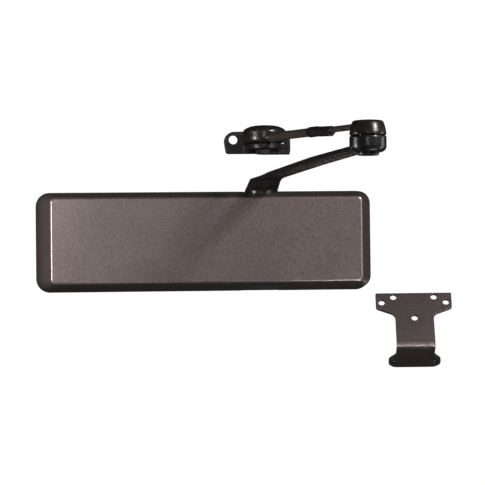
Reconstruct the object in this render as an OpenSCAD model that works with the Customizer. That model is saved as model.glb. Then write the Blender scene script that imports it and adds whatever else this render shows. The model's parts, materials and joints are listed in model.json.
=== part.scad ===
// Surface-mounted door closer with a regular arm, its shoe and a loose parallel-arm bracket.
// Frame: origin at the middle of the mounting holes, on the face that lies against the door.
// +X along the closer towards the pinion end, +Y into the door, +Z up along the spindle.

/* [Cover] */
// Length of the cover along X
cover_length = 314; // [312:1:320]
// Height of the cover along Z
cover_height = 93.5; // [93:0.5:96]
// Depth of the cover from the door face
cover_depth = 57; // [57:0.5:60]
// Thickness of the cover's walls
cover_wall = 2.5; // [2:0.1:2.5]

/* [Body] */
// X of the spindle from the middle of the mounting holes
spindle_x = 52.5; // [51:0.5:53]
// Distance of the spindle and cylinder axes from the door face
axis_depth = 28; // [28:0.5:29]
// Radius of the cylinder bore
bore_r = 19; // [18.5:0.1:19]
// Distance between the mounting holes along X
hole_spacing_x = 228; // [226:1:230]
// Distance between the mounting holes along Z
hole_spacing_z = 64; // [63:1:66]
// Radius of the mounting holes
mounting_hole_r = 3.6; // [3.4:0.1:4]

/* [Gear] */
// Module of the rack and pinion
gear_module = 2; // [2:1:2]
// Teeth on the pinion
pinion_teeth = 11; // [11:1:11]
// Half height of the pinion teeth along Z
gear_half_height = 8; // [6:0.5:9]

/* [Arm] */
// Length of the main arm from spindle to elbow
main_arm_length = 267; // [240:1:290]
// Angle of the main arm at rest, from straight out of the door towards +X
main_arm_angle = 13.4; // [5:0.1:25]
// X of the shoe pivot
shoe_pivot_x = 56.3; // [54:0.1:58]
// Distance of the shoe pivot from the door face
shoe_pivot_depth = 25.3; // [25.3:0.1:27]
// Diameter of the forearm rod
rod_d = 5.3; // [5:0.1:5.5]
// Outer diameter of the forearm tube
tube_d = 7.8; // [7.6:0.1:8.4]

/* [Shoe] */
// Length of the shoe plate along X
shoe_length = 63; // [62:0.2:66]
// Distance between the shoe's screw holes
shoe_hole_spacing = 45.4; // [44:0.1:47]
// Radius of the shoe's screw holes
shoe_hole_r = 4.15; // [3.5:0.05:4.5]

/* [Bracket] */
// Width of the bracket's plate
bracket_width = 71.6; // [70:0.2:76]
// Length of the plate from its free edge to the outside of the bend
plate_length = 58.9; // [56:0.1:62]
// Length of the tab from its free edge to the outside of the bend
tab_length = 38.6; // [36:0.1:40]
// Thickness of the bracket's steel
bracket_t = 3.2; // [2.6:0.1:3.6]
// X of the middle of the bracket
bracket_x = 198.4; // [195:0.2:240]
// Z of the free edge of the bracket's plate
bracket_top_z = -50.6; // [-60:0.2:-50]
// How far the loose bracket is turned about Z
bracket_turn = -5.5; // [-15:0.5:0]

/* [Hidden] */
$fn = 64;
eps = 0.01;
axis_y = -axis_depth;

// ---------------------------------------------------------------- helpers
module xcyl(r, x0, x1) { translate([x0, 0, 0]) rotate([0, 90, 0]) cylinder(r = r, h = x1 - x0); }
module ycyl(r, y0, y1) { translate([0, y1, 0]) rotate([90, 0, 0]) cylinder(r = r, h = y1 - y0); }
module zcyl(r, z0, z1) { translate([0, 0, z0]) cylinder(r = r, h = z1 - z0); }
module block(x0, x1, y0, y1, z0, z1) { translate([x0, y0, z0]) cube([x1 - x0, y1 - y0, z1 - z0]); }
module hex(af, z0, z1) { translate([0, 0, z0]) cylinder(r = af / sqrt(3), h = z1 - z0, $fn = 6); }

module square_bar(side, z0, z1) { translate([-side / 2, -side / 2, z0]) cube([side, side, z1 - z0]); }

// Ring around Z with a round section, such as an O-ring
module o_ring(mean_r, cord_r) { rotate_extrude() translate([mean_r, 0]) circle(r = cord_r); }

// O-ring around an X axis and the groove for it, both under a surface of radius r
cord_r = 0.93;
module x_ring(r, x) { translate([x, 0, 0]) rotate([0, 90, 0]) o_ring(r - 0.97, cord_r); }
module x_groove(r, x) {
    translate([x, 0, 0]) rotate([0, 90, 0]) rotate_extrude() translate([r - 1.94, -1.1]) square([3, 2.2]);
}

// Flat plate in the XZ plane with rounded corners, lying from y0 to y1
module rounded_plate(x0, x1, z0, z1, y0, y1, r) {
    block(x0 + r, x1 - r, y0, y1, z0, z1);
    block(x0, x1, y0, y1, z0 + r, z1 - r);
    for (x = [x0 + r, x1 - r], z = [z0 + r, z1 - r])
        translate([x, 0, z]) ycyl(r, y0, y1);
}

// Points on an arc about a centre, from one angle to another
function arc(c, r, a0, a1, steps = 8) =
    [for (i = [0:steps]) let (a = a0 + (a1 - a0) * i / steps) c + r * [cos(a), sin(a)]];

// ---------------------------------------------------------------- cover
cover_gap = 0.5;                 // rim to door face
rear_depth = 32;                 // depth at which the walls start to curve in
end_inset = 13;                  // how far the end walls have come in at the front edge
side_inset = 6.9;                // how far the top and bottom walls have come in there
edge_depth = 55.4;               // depth at which the front edge starts to round over
slice_t = 0.4;

// Slices of the cover's outside: [depth, end inset, side inset, corner radius]
function curve_in(t) = let (k = pow(t, 1.6))
    [rear_depth + (edge_depth - rear_depth) * t, 3.2 + (end_inset - 3.2) * k,
     1.7 + (side_inset - 1.7) * k, 11.5 - 7.5 * k];
cover_slices = concat(
    [[cover_gap, 0, 0, 13]],
    [for (i = [0:5]) curve_in(i / 5)],
    [[56.5, end_inset + 0.8, side_inset + 0.6, 3.6], [57, end_inset + 2, side_inset + 1.8, 3]]
);

// Solid between the slices, shrunk all round by a wall thickness
module cover_solid(wall) {
    deeper = cover_depth - 57;
    hull() for (s = cover_slices) let (d = s[0] <= 1 ? s[0] - (wall > 0 ? 1 : 0) : s[0] + deeper - wall)
        for (sx = [-1, 1], sz = [-1, 1])
            translate([sx * (cover_length / 2 - s[1] - s[3] - wall * 0.96), -d + slice_t,
                       sz * (cover_height / 2 - s[2] - s[3] - wall * 0.96)])
                rotate([90, 0, 0]) cylinder(r = s[3], h = slice_t, $fn = 32);
}

notch_r = 18;
screw_x = 94;                    // cover screws, either side of the middle
screw_y = -16;

module cover() color("#5a5052") difference() {
    cover_solid(0);
    cover_solid(cover_wall);
    for (side = [-1, 1]) translate([spindle_x, axis_y, 0]) {
        zcyl(notch_r, side > 0 ? 30 : -60, side > 0 ? 60 : -30);
        block(-notch_r, notch_r, 0, axis_depth + 1, side > 0 ? 30 : -60, side > 0 ? 60 : -30);
    }
    for (x = [-screw_x, screw_x]) translate([x, screw_y, 0]) {
        zcyl(2.6, -50, -38);
        translate([0, 0, -46.1]) cylinder(r1 = 4.9, r2 = 2.6, h = 2.4);
        zcyl(4.9, -50, -46.1);
    }
}

insert_z = 42.6;                 // inner face of the cover's inserts
// Closes the part of the upper notch behind the spindle
module upper_cover_insert() color("#4a4244") translate([spindle_x, 0, 0]) {
    block(-notch_r + 0.2, notch_r - 0.2, -10, -1.2, insert_z, 45.2);
    block(-notch_r - 2, notch_r + 2, -9.5, -2, insert_z - 1.8, insert_z);
}
// Closes the whole lower notch and follows the outside of the cover
module lower_cover_insert() color("#4a4244") {
    intersection() {
        cover_solid(0.15);
        translate([spindle_x, 0, 0]) mirror([0, 0, 1]) {
            translate([0, axis_y, 0]) zcyl(notch_r - 0.2, insert_z, 50);
            block(-notch_r + 0.2, notch_r - 0.2, axis_y, -1.2, insert_z, 50);
        }
    }
    translate([spindle_x, 0, 0]) mirror([0, 0, 1])
        block(-notch_r - 2, notch_r + 2, -10, -2, insert_z - 1.8, insert_z);
}

module cover_screws() color("#3c3638") for (x = [-screw_x, screw_x])
    translate([x, screw_y, 0]) difference() {
        union() {
            zcyl(2.4, -44, -36);
            translate([0, 0, -46]) cylinder(r1 = 4.7, r2 = 2.4, h = 2.3);
        }
        translate([0, 0, -46 - eps]) hex(3, 0, 1.8);
    }

// ---------------------------------------------------------------- body casting
housing_r = 24.5;
casting_x0 = -28;
casting_x1 = 136;
boss_r = 21.5;
boss_z = 31;
pocket_r = 14;
pocket_z = 20.5;
pinion_way_r = 13.1;            // lets the pinion's teeth through
shaft_r = 9;
tube_outer_r = 22;
tube_x0 = -140;
plug_r = 20.4;
plug_inner_x = 119.5;
valve_z = 27;
valve_front = -48;
valve_places = [[82, valve_z], [94, valve_z], [88, -valve_z]];
valve_r = 3.5;

module closer_body() color("#57575a") difference() {
    union() {
        block(-128, casting_x1 - 8, -6, 0, -17, 17);
        for (x = [-hole_spacing_x / 2, hole_spacing_x / 2])
            rounded_plate(x - 13, x + 13, -42, 42, -7, 0, 8);
        translate([0, axis_y, 0]) xcyl(housing_r, casting_x0, casting_x1);
        block(casting_x0, casting_x1, axis_y, -3, -16, 16);
        // collar that the spring tube screws into
        translate([0, axis_y, 0]) xcyl(26, casting_x0, casting_x0 + 16);
        translate([spindle_x, axis_y, 0]) zcyl(boss_r, -boss_z, boss_z);
        block(spindle_x - 18, spindle_x + 18, axis_y, -3, -28, 28);
        // saddle under the far end of the spring tube
        block(-126, -110, -12, 0, -14, 14);
        // valve blocks above and below the cylinder
        block(75, 101, valve_front, -12, 14, 34);
        block(75, 101, valve_front, -12, -34, -14);
        // lugs that take the cover screws
        for (s = [-1, 1]) {
            block(s * screw_x - 12, s * screw_x + 12, -7, 0, -42, -33);
            block(s * screw_x - 6, s * screw_x + 6, -23, 0, -41.5, -34.5);
        }
    }
    translate([0, axis_y, 0]) {
        xcyl(bore_r, casting_x0 - 1, casting_x1 + 1);
        xcyl(tube_outer_r, -129, casting_x0 + 12);
        xcyl(plug_r, plug_inner_x, casting_x1 + 1);
    }
    translate([spindle_x, axis_y, 0]) {
        zcyl(pinion_way_r, -boss_z - 1, boss_z + 1);
        zcyl(pocket_r, pocket_z, boss_z + 1);
        zcyl(pocket_r, -boss_z - 1, -pocket_z);
    }
    for (x = [-hole_spacing_x / 2, hole_spacing_x / 2], z = [-hole_spacing_z / 2, hole_spacing_z / 2])
        translate([x, 0, z]) ycyl(mounting_hole_r, -8, 1);
    for (p = valve_places) translate([p[0], 0, p[1]]) {
        ycyl(valve_r + 0.05, valve_front - 1, -26);
        ycyl(1.2, -28, -20);
    }
    for (x = [-screw_x, screw_x]) translate([x, screw_y, 0]) zcyl(2.45, -43, -35);
}

// ---------------------------------------------------------------- spring tube and plugs
module spring_tube() color("#4c4c50") translate([0, axis_y, 0]) difference() {
    xcyl(tube_outer_r - 0.03, tube_x0, casting_x0 + 11.9);
    xcyl(bore_r, tube_x0 - 1, casting_x0 + 13);
    xcyl(plug_r, tube_x0 - 1, tube_x0 + 13);
}

adjuster_r = 5;
module tube_plug() color("#6b6b70") translate([0, axis_y, 0]) difference() {
    xcyl(plug_r - 0.03, tube_x0 + 1, tube_x0 + 12.9);
    xcyl(adjuster_r + 0.06, tube_x0, tube_x0 + 14);
    x_groove(plug_r, tube_x0 + 8);
    for (a = [0, 180]) rotate([a, 0, 0]) translate([0, 13, 0]) xcyl(2, tube_x0, tube_x0 + 5);
}
module tube_plug_seal() color("#1b1b1c") translate([0, axis_y, 0]) x_ring(plug_r, tube_x0 + 8);

module end_plug() color("#6b6b70") translate([0, axis_y, 0]) difference() {
    xcyl(plug_r - 0.03, plug_inner_x + 0.05, casting_x1 - 0.5);
    translate([casting_x1 - 7, 0, 0]) rotate([0, 90, 0]) hex(12, 0, 8);
    x_groove(plug_r, plug_inner_x + 5);
}
module end_plug_seal() color("#1b1b1c") translate([0, axis_y, 0]) x_ring(plug_r, plug_inner_x + 5);

// ---------------------------------------------------------------- spindle bearings and seals
roller_r = 1.25;
roller_count = 22;
roller_circle_r = shaft_r + roller_r + 0.03;
race_inner_r = roller_circle_r + roller_r + 0.03;

module at_spindle(side) translate([spindle_x, axis_y, 0]) mirror([0, 0, side > 0 ? 0 : 1]) children();

module bearing_race() difference() {
    zcyl(pocket_r - 0.02, pocket_z + 0.1, pocket_z + 7.1);
    zcyl(race_inner_r, pocket_z, pocket_z + 8);
}
module bearing_rollers() for (i = [0:roller_count - 1]) rotate([0, 0, i * 360 / roller_count])
    translate([roller_circle_r, 0, 0]) zcyl(roller_r, pocket_z + 0.4, pocket_z + 6.8);
module shaft_seal() difference() {
    zcyl(pocket_r - 0.05, pocket_z + 7.2, pocket_z + 8.9);
    zcyl(shaft_r + 0.04, pocket_z + 7, pocket_z + 9);
}
module gland_nut() difference() {
    union() {
        zcyl(pocket_r - 0.03, pocket_z + 9, boss_z + 0.02);
        zcyl(16.5, boss_z + 0.02, boss_z + 2);
    }
    zcyl(shaft_r + 0.3, pocket_z, boss_z + 3);
    for (a = [0:90:270]) rotate([0, 0, a + 45]) translate([13, 0, 0]) zcyl(1.3, boss_z - 1, boss_z + 3);
}
module upper_bearing_race() color("#9a9aa0") at_spindle(1) bearing_race();
module lower_bearing_race() color("#9a9aa0") at_spindle(-1) bearing_race();
module upper_bearing_rollers() color("#c0c0c6") at_spindle(1) bearing_rollers();
module lower_bearing_rollers() color("#c0c0c6") at_spindle(-1) bearing_rollers();
module upper_shaft_seal() color("#1b1b1c") at_spindle(1) shaft_seal();
module lower_shaft_seal() color("#1b1b1c") at_spindle(-1) shaft_seal();
module upper_gland_nut() color("#77777c") at_spindle(1) gland_nut();
module lower_gland_nut() color("#77777c") at_spindle(-1) gland_nut();

// ---------------------------------------------------------------- pinion and rack
pitch_r = gear_module * pinion_teeth / 2;
base_r = pitch_r * cos(20);
pinion_tip_r = pitch_r + 0.9 * gear_module;
pinion_root_r = pitch_r - 0.8 * gear_module;
rack_addendum = 0.6 * gear_module;
rack_dedendum = 1.1 * gear_module;
backlash = 0.075;                // taken off each flank
tooth_pitch = PI * gear_module;

function involute_deg(r) = let (a = acos(base_r / r)) (tan(a) - a * PI / 180) * 180 / PI;
half_tooth_deg = (tooth_pitch / 4 - backlash) / pitch_r * 180 / PI + involute_deg(pitch_r);
flank_r = [for (i = [0:6]) base_r + 0.001 + (pinion_tip_r - base_r - 0.001) * i / 6];
// One tooth, symmetric about the angle a, from root to tip and back
function pinion_tooth(a) = concat(
    [pinion_root_r * [cos(a - half_tooth_deg), sin(a - half_tooth_deg)]],
    [for (r = flank_r) let (b = a - half_tooth_deg + involute_deg(r)) r * [cos(b), sin(b)]],
    [for (i = [6:-1:0]) let (r = flank_r[i], b = a + half_tooth_deg - involute_deg(r)) r * [cos(b), sin(b)]],
    [pinion_root_r * [cos(a + half_tooth_deg), sin(a + half_tooth_deg)]]
);
pinion_outline = [for (i = [0:pinion_teeth - 1]) each pinion_tooth(90 + i * 360 / pinion_teeth)];

spindle_end_z = 41.8;
square_side = 12.4;
square_z = 33.5;

module pinion_shaft() color("#8c8c92") translate([spindle_x, axis_y, 0]) difference() {
    union() {
        translate([0, 0, -gear_half_height]) linear_extrude(2 * gear_half_height) polygon(pinion_outline);
        zcyl(shaft_r, -square_z, square_z);
        rotate([0, 0, main_arm_angle]) square_bar(square_side, -spindle_end_z, spindle_end_z);
    }
    for (s = [-1, 1]) zcyl(4.05, s > 0 ? 28 : -spindle_end_z - 1, s > 0 ? spindle_end_z + 1 : -28);
}

// Piston with the rack cut in the door side of its window
piston_r = bore_r - 0.07;
piston_x0 = 20;
piston_x1 = 119;
window_x0 = spindle_x - 14.5;
window_x1 = spindle_x + 44.5;
rack_tip_y = pitch_r - rack_addendum;
rack_root_y = pitch_r + rack_dedendum;
half_rack_tooth = tooth_pitch / 4 - backlash;
function rack_tooth(x) = [
    [x - half_rack_tooth - rack_dedendum * tan(20), rack_root_y],
    [x - half_rack_tooth + rack_addendum * tan(20), rack_tip_y],
    [x + half_rack_tooth - rack_addendum * tan(20), rack_tip_y],
    [x + half_rack_tooth + rack_dedendum * tan(20), rack_root_y]
];
window_outline = concat(
    [[window_x1, rack_root_y], [window_x1, -pinion_tip_r - 0.8]],
    [[window_x0, -pinion_tip_r - 0.8], [window_x0, rack_root_y]],
    [for (k = [-2:6]) each rack_tooth(spindle_x + (k + 0.5) * tooth_pitch)]
);
check_r = 5;

module piston() color("#a8a8ae") translate([0, axis_y, 0]) difference() {
    xcyl(piston_r, piston_x0, piston_x1);
    translate([0, 0, -bore_r - 1]) linear_extrude(2 * bore_r + 2) polygon(window_outline);
    x_groove(piston_r, piston_x1 - 5);
    xcyl(13, piston_x0 - 1, piston_x0 + 8);
    xcyl(check_r, piston_x1 - 12, piston_x1 + 1);
    xcyl(2, window_x1 - 1, piston_x1);
}
module piston_check_valve() color("#c9a45a") translate([0, axis_y, 0]) {
    difference() {
        xcyl(check_r - 0.05, piston_x1 - 6, piston_x1);
        xcyl(1.5, piston_x1 - 7, piston_x1 + 1);
    }
    translate([piston_x1 - 9, 0, 0]) sphere(r = 2.6);
}
module piston_seal() color("#1b1b1c") translate([0, axis_y, 0]) x_ring(piston_r, piston_x1 - 5);

// ---------------------------------------------------------------- spring and power adjuster
seat_x0 = -118;
seat_x1 = -112;
wire_r = 2.6;
coil_r = 15.2;
spring_turns = 10;
spring_x0 = seat_x1 + wire_r;
spring_x1 = piston_x0 - wire_r;
coil_steps = 16;
wire_sides = 8;

// Axial place of the wire after a share of its turns: flat for the first and last turn
function coil_x(s) = let (n = spring_turns, t = min(max((s * n - 0.9) / (n - 1.8), 0), 1))
    spring_x0 + 2 * wire_r * 0.9 * min(s * n, 0.9) + 2 * wire_r * 0.9 * max(s * n - n + 0.9, 0)
    + (spring_x1 - spring_x0 - 2 * wire_r * 1.62) * t;
spring_rings = spring_turns * coil_steps;
spring_points = [for (i = [0:spring_rings], j = [0:wire_sides - 1])
    let (a = i * 360 / coil_steps, b = j * 360 / wire_sides, r = coil_r + wire_r * cos(b))
    [coil_x(i / spring_rings) + wire_r * sin(b), r * cos(a), r * sin(a)]];
spring_faces = concat(
    [[for (j = [0:wire_sides - 1]) j]],
    [for (i = [0:spring_rings - 1], j = [0:wire_sides - 1]) let (k = (j + 1) % wire_sides)
        each [[i * wire_sides + j, (i + 1) * wire_sides + j, (i + 1) * wire_sides + k],
              [i * wire_sides + j, (i + 1) * wire_sides + k, i * wire_sides + k]]],
    [[for (j = [wire_sides - 1:-1:0]) spring_rings * wire_sides + j]]
);
module closer_spring() color("#7c8087") translate([0, axis_y, 0])
    polyhedron(points = spring_points, faces = spring_faces);

module spring_seat() color("#8f8f94") translate([0, axis_y, 0]) difference() {
    union() {
        xcyl(bore_r - 0.4, seat_x0, seat_x1);
        xcyl(11.5, seat_x0, seat_x1 + 9);
    }
    xcyl(adjuster_r + 0.06, seat_x0 - 1, seat_x1 + 10);
}

module power_adjuster() color("#5d7a5f") translate([0, axis_y, 0]) difference() {
    union() {
        xcyl(adjuster_r, tube_x0 - 1, seat_x1 + 22);
        translate([tube_x0 - 5, 0, 0]) rotate([0, 90, 0]) hex(13, 0, 5.6);
        xcyl(8, tube_x0 + 13.1, tube_x0 + 16);
    }
    translate([tube_x0 - 5 - eps, 0, 0]) rotate([0, 90, 0]) hex(5, 0, 3);
}

// ---------------------------------------------------------------- regulating valves
module valve(p, screw_len) translate([p[0], 0, p[1]]) difference() {
    union() {
        ycyl(valve_r, valve_front + 0.5, valve_front + 8);
        ycyl(2.2, valve_front + 8 - eps, valve_front + screw_len);
        ycyl(valve_r, valve_front + 11.5, valve_front + 14);
        translate([0, valve_front + screw_len, 0]) rotate([-90, 0, 0]) cylinder(r1 = 2.2, r2 = 0.8, h = 3);
    }
    translate([0, valve_front + 0.5 - eps, 0]) rotate([-90, 0, 0]) hex(3, 0, 3);
}
module valve_seal(p) translate([p[0], valve_front + 9.75, p[1]]) rotate([90, 0, 0]) o_ring(2.87, 0.62);
module closing_speed_valve() color("#b89a55") valve(valve_places[0], 17);
module latch_speed_valve() color("#b89a55") valve(valve_places[1], 17);
module backcheck_valve() color("#b89a55") valve(valve_places[2], 17);
module closing_valve_seal() color("#1b1b1c") valve_seal(valve_places[0]);
module latch_valve_seal() color("#1b1b1c") valve_seal(valve_places[1]);
module backcheck_valve_seal() color("#1b1b1c") valve_seal(valve_places[2]);

// ---------------------------------------------------------------- main arm
hub_r = 15.4;
hub_z0 = 33.6;
hub_z1 = 47;                     // where the hub starts to lean towards the elbow
neck_r = 14.6;
neck_z = 57.2;
neck_lean = 12;
knuckle_r = 15.2;
lower_knuckle_z0 = 64;
elbow_z = 77.8;                  // plane between the two knuckles
pin_r = 6;
screw_seat_z = 50;

// Side outline of the bar: along the arm, and up
bar_side = [
    [neck_lean, 52], [30, 55.2], [45, 55.9], [150, 61.1], [main_arm_length, 65.8],
    [main_arm_length, 71.8], [150, 67.9], [45, 61.5], [22, 58], [neck_lean, neck_z]
];
// Half widths of the bar in plan: along the arm, and across
bar_half = [[neck_lean, neck_r], [45, 9], [main_arm_length, 7.2]];
bar_plan = concat([for (p = bar_half) [p[0], -p[1]]], [for (i = [2:-1:0]) bar_half[i]]);

// Puts children at the spindle with +X along the arm
module along_main_arm() translate([spindle_x, axis_y, 0]) rotate([0, 0, main_arm_angle - 90]) children();

module main_arm() color("#2b2626") along_main_arm() difference() {
    union() {
        zcyl(hub_r, hub_z0, hub_z1);
        hull() {
            cylinder_at(0, hub_r, hub_z1 - 3, hub_z1);
            cylinder_at(neck_lean, neck_r, neck_z - 4, neck_z);
        }
        intersection() {
            translate([0, 50, 0]) rotate([90, 0, 0]) linear_extrude(100) polygon(bar_side);
            linear_extrude(120) polygon(bar_plan);
        }
        translate([main_arm_length, 0, 0]) rotate_extrude() polygon([
            [0, lower_knuckle_z0], [knuckle_r - 4.5, lower_knuckle_z0],
            [knuckle_r - 1.3, lower_knuckle_z0 + 1.6], [knuckle_r, lower_knuckle_z0 + 4.6],
            [knuckle_r, elbow_z - 0.2], [0, elbow_z - 0.2]
        ]);
    }
    square_bar(square_side + 0.08, hub_z0 - 1, spindle_end_z + 0.2);
    zcyl(4.3, hub_z0, screw_seat_z + 1);
    zcyl(10.3, screw_seat_z, neck_z + 5);
    translate([main_arm_length, 0, 0]) zcyl(pin_r + 0.02, 60, elbow_z + 1);
}
module cylinder_at(x, r, z0, z1) translate([x, 0, z0]) cylinder(r = r, h = z1 - z0, $fn = 32);
module arm_washer() color("#3a3536") along_main_arm() difference() {
    zcyl(9.8, screw_seat_z, screw_seat_z + 1.6);
    zcyl(4.25, screw_seat_z - 1, screw_seat_z + 2);
}
module arm_screw() color("#3a3536") along_main_arm() difference() {
    union() {
        zcyl(4, 28.5, screw_seat_z + 1.6 + eps);
        hex(13, screw_seat_z + 1.6, screw_seat_z + 6.6);
    }
    hex(5, screw_seat_z + 3.8, screw_seat_z + 7);
}

// ---------------------------------------------------------------- elbow
elbow_x = spindle_x + main_arm_length * sin(main_arm_angle);
elbow_y = axis_y - main_arm_length * cos(main_arm_angle);
bush_r = 7.6;
cap_r = 9.4;
cap_z = 84.4;
module at_elbow() translate([elbow_x, elbow_y, 0]) children();

module elbow_pin() color("#3a3536") at_elbow() {
    zcyl(9, 61.5, lower_knuckle_z0 - 0.1);
    zcyl(pin_r, lower_knuckle_z0 - 0.1 - eps, cap_z - 0.3);
}
module elbow_washer() color("#857d72") at_elbow() difference() {
    zcyl(9, elbow_z - 0.15, elbow_z + 0.15);
    zcyl(pin_r + 0.05, elbow_z - 1, elbow_z + 1);
}
module elbow_bush() color("#a08a5a") at_elbow() difference() {
    zcyl(bush_r, elbow_z + 0.2, cap_z - 0.1);
    zcyl(pin_r + 0.05, elbow_z - 1, cap_z + 1);
}

// ---------------------------------------------------------------- forearm
eye_z = 95.5;
rod_z = 86.2;                    // height of the forearm's axis at the elbow
run = [shoe_pivot_x - elbow_x, -shoe_pivot_depth - elbow_y];
forearm_plan_length = norm(run);
forearm_heading = atan2(run[1], run[0]);
forearm_pitch = atan2(eye_z - rod_z, forearm_plan_length);
sleeve_0 = 84;                   // along the forearm from the elbow
sleeve_1 = 140;
sleeve_collar = 36;              // from the sleeve's thin end to its collar
tube_0 = sleeve_1 - 8;
tube_flare = 186;                // where the tube starts to widen towards its eye
tube_end = 255;
rod_end = 190;
travel_in = 23;                  // how far the rod can go further into the tube
eye_r = 20;
eye_z0 = 90.3;
eye_z1 = 106.9;
shoe_pin_r = 4.5;
shoe_bush_r = 6;

// Puts children at the elbow with +X along the forearm's own line
module along_forearm() translate([elbow_x, elbow_y, rod_z])
    rotate([0, 0, forearm_heading]) rotate([0, -forearm_pitch, 0]) children();
module at_shoe_pivot() translate([shoe_pivot_x, -shoe_pivot_depth, 0]) children();

module forearm_rod() color("#2f2a2a") difference() {
    union() {
        along_forearm() xcyl(rod_d / 2, 6, rod_end);
        along_forearm() translate([9, 0, 0]) rotate([0, 90, 0]) cylinder(r1 = 3.6, r2 = rod_d / 2, h = 22);
        at_elbow() rotate_extrude() polygon([
            [0, elbow_z + 0.2], [knuckle_r, elbow_z + 0.2], [knuckle_r - 0.4, 82], [knuckle_r - 1.1, 85.5],
            [knuckle_r - 2.6, 89.2], [knuckle_r - 4, 90], [0, 90.3]
        ]);
    }
    at_elbow() {
        zcyl(bush_r + 0.02, elbow_z - 1, 88);
        zcyl(cap_r + 0.05, cap_z, 95);
    }
}
module elbow_cap() color("#2f2a2a") at_elbow() rotate_extrude() polygon([
    [0, cap_z + 0.05], [cap_r, cap_z + 0.05], [cap_r, 89.9], [cap_r - 0.6, 90.3], [0, 90.6]
]);

module forearm_tube() color("#40383a") difference() {
    union() {
        along_forearm() xcyl(tube_d / 2, tube_0, tube_end);
        along_forearm() translate([tube_flare, 0, 0]) rotate([0, 90, 0])
            cylinder(r1 = tube_d / 2, r2 = 4.7, h = tube_end - tube_flare);
        at_shoe_pivot() rotate_extrude() polygon([
            [0, eye_z0], [eye_r - 2.5, eye_z0], [eye_r - 0.6, eye_z0 + 1], [eye_r, eye_z0 + 2.6],
            [eye_r, 101.4], [eye_r - 0.7, 102.8], [16, 105], [11.5, 106.4], [8, eye_z1], [0, eye_z1]
        ]);
    }
    along_forearm() xcyl(rod_d / 2 + 0.06, tube_0 - 1, rod_end + travel_in);
    at_shoe_pivot() {
        zcyl(shoe_bush_r + 0.02, eye_z0 - 1, 104.1);
        zcyl(7.7, 104, 110);
    }
}
module shoe_bush() color("#a08a5a") at_shoe_pivot() difference() {
    zcyl(shoe_bush_r, eye_z0 + 0.05, 103.95);
    zcyl(shoe_pin_r + 0.05, eye_z0 - 1, 105);
}

// Side outline of the clamp sleeve's lower rib: along the forearm, and up from its axis
rib_side = [[sleeve_0, -2.9], [sleeve_0 + 6.5, -5.4], [sleeve_1, -3.9], [sleeve_1, 0], [sleeve_0, 0]];
clamp_screw_x = [sleeve_0 + 13, sleeve_0 + 27];
clamp_screw_r = 1.6;

module clamp_sleeve() color("#332d2e") along_forearm() difference() {
    union() {
        translate([sleeve_0, 0, 0]) rotate([0, 90, 0]) cylinder(r1 = 3.3, r2 = 4.2, h = sleeve_collar);
        xcyl(4.7, sleeve_0 + sleeve_collar, sleeve_1);
        translate([0, 3.2, 0]) rotate([90, 0, 0]) linear_extrude(6.4) polygon(rib_side);
    }
    xcyl(rod_d / 2 + 0.06, sleeve_0 - 1, tube_0 + 1);
    xcyl(tube_d / 2 + 0.02, tube_0 - 0.05, sleeve_1 + 1);
    for (x = clamp_screw_x) translate([x, 0, 0]) zcyl(clamp_screw_r + 0.03, -7, 0);
}
module clamp_screws() color("#3a3536") along_forearm() for (x = clamp_screw_x)
    translate([x, 0, 0]) difference() {
        zcyl(clamp_screw_r, -4.9, -rod_d / 2 - 0.15);
        hex(1.6, -5, -3.6);
    }

// ---------------------------------------------------------------- shoe
shoe_x = 51.7;                   // middle of the shoe's plate
shoe_z0 = 82;
shoe_z1 = 103.2;
shoe_hole_up = 13.4;              // from the plate's foot
plate_t = 4;
shelf_z0 = 84.8;
shelf_z1 = eye_z0 - 0.3;
shelf_r = 16.5;

// Plate with large upper and small lower corners
module shoe_plate() {
    x0 = shoe_x - shoe_length / 2;
    x1 = shoe_x + shoe_length / 2;
    top_r = 10;
    foot_r = 3;
    outline = concat(
        arc([x0 + foot_r + 1.2, shoe_z0 + foot_r], foot_r, 200, 270),
        arc([x1 - foot_r, shoe_z0 + foot_r], foot_r, 270, 360),
        arc([x1 - top_r, shoe_z1 - top_r], top_r, 0, 90, 10),
        arc([x0 + top_r, shoe_z1 - top_r], top_r, 90, 180, 10)
    );
    rotate([90, 0, 0]) linear_extrude(plate_t) polygon(outline);
}
module shoe() color("#332d2e") difference() {
    union() {
        shoe_plate();
        at_shoe_pivot() zcyl(shelf_r, shelf_z0, shelf_z1);
        block(shoe_pivot_x - shelf_r, shoe_pivot_x + shelf_r, -shoe_pivot_depth, -2, shelf_z0, shelf_z1);
        // ribs under the shelf
        for (s = [-1, 1]) translate([shoe_pivot_x + s * 13, 0, 0])
            block(-2, 2, -18, -2, shoe_z0 + 0.5, shelf_z0 + 1);
        // thicker foot of the plate
        block(shoe_x + 5, shoe_x + shoe_length / 2 - 1, -8, -1, shoe_z0 - 0.8, shelf_z0 + 1);
    }
    at_shoe_pivot() zcyl(shoe_pin_r + 0.02, 75, 112);
    for (s = [-1, 1]) translate([shoe_x + s * shoe_hole_spacing / 2, 0, shoe_z0 + shoe_hole_up])
        ycyl(shoe_hole_r, -plate_t - 1, 1);
}
module shoe_pin() color("#3a3536") at_shoe_pivot() {
    zcyl(shoe_pin_r, 79.8, 104.2);
    zcyl(7.5, 104.1, 107.1);
}
module shoe_pin_nut() color("#3a3536") at_shoe_pivot() difference() {
    hex(14, 80.2, shelf_z0 - 0.05);
    zcyl(shoe_pin_r + 0.02, 78, shelf_z0 + 1);
}

// ---------------------------------------------------------------- parallel-arm bracket
bend_r = 5.2;                    // outside of the bend
plate_half = bracket_width / 2;
neck_half = 18.1;
tab_half = 24.5;
lobe_v = 19.8;                   // from the bend to where the tab's lobes start
bracket_hole_r = 3.1;
tab_hole_r = 2.6;
tab_hole_half = 19;
tab_hole_up = 8.4;               // from the tab's free edge
plate_holes = [[-19.1, 4.3], [19.1, 4.3], [-30.3, 10.2], [30.3, 10.2], [0, 27.4]];
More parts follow.
